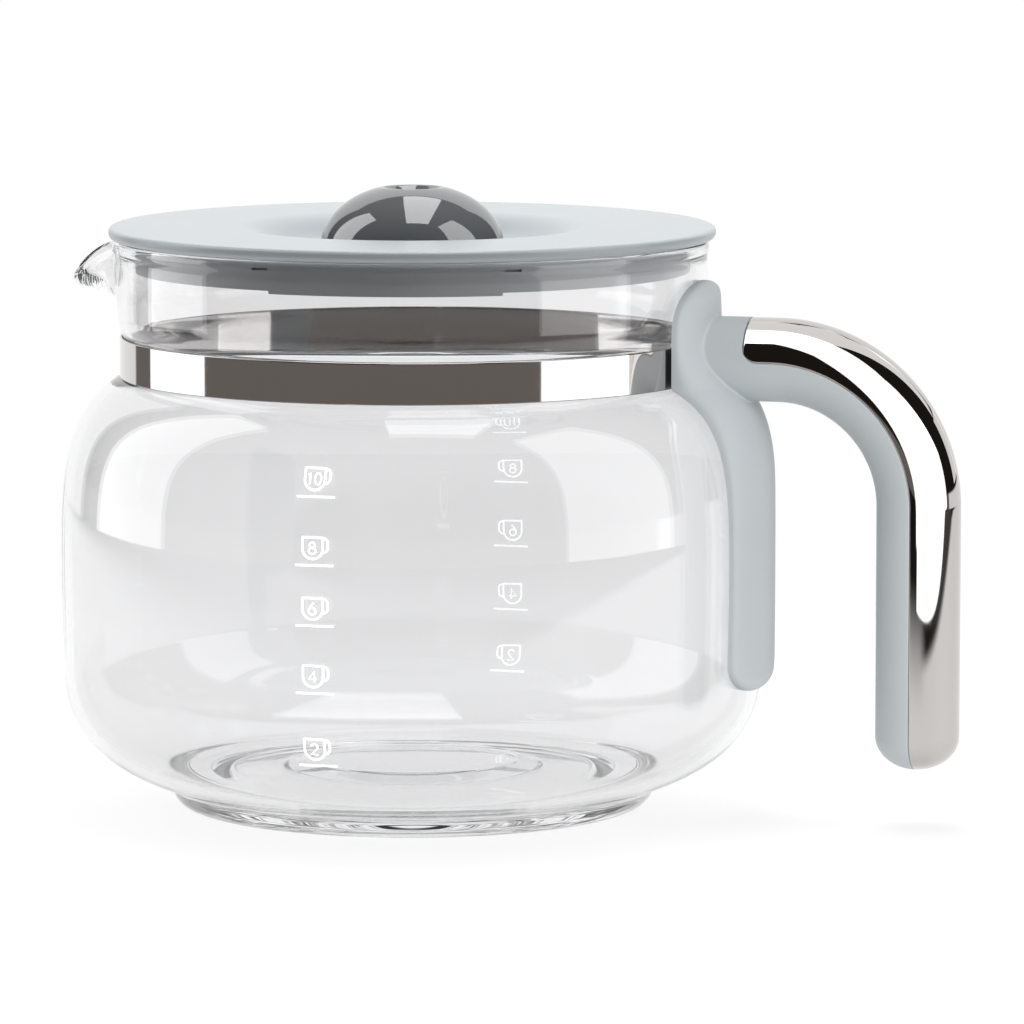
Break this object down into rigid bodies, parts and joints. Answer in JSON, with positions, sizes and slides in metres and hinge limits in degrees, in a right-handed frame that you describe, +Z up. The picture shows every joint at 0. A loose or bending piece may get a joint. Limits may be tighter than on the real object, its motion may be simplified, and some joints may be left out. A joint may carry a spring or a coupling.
{
  "type": "glass coffee carafe",
  "caption": "Blown glass coffee carafe with a pouring beak, a steel neck band, a hooked grip on a bracket, cup marks and a lift-off lid with a domed knob.",
  "frame": {"origin": "centre of the foot ring, on the surface that the carafe stands on", "axes": "+Z up along the jug's axis, +X towards the grip, -X towards the pouring beak"},
  "size_m": [0.2068, 0.159, 0.1401],
  "materials": {
    "clear_glass": "clear blown borosilicate, fire-polished rim",
    "band_steel": "mirror-polished stainless strip",
    "plain_steel": "zinc-plated",
    "grip_plastic": "satin light blue-grey",
    "cover_chrome": "mirror",
    "lid_plastic": "satin pale blue-grey",
    "ring_plastic": "satin mid grey",
    "knob_plastic": "high gloss grey"
  },
  "bodies": {
    "jug": {"glass_jug": "clear_glass", "neck_band": "band_steel", "clamp_plate": "plain_steel", "clamp_screw": "plain_steel", "lock_washer": "plain_steel", "handle_bracket": "grip_plastic", "grip_core": "grip_plastic", "grip_cover": "cover_chrome"},
    "lid": {"lid_plate": "lid_plastic", "lid_ring": "ring_plastic", "lid_knob": "knob_plastic"}
  },
  "joints": [
    {"name": "lid_lift", "type": "slide", "parent": "jug", "child": "lid", "axis": [0, 0, 1], "range_m": [0, 0.04]}
  ]
}
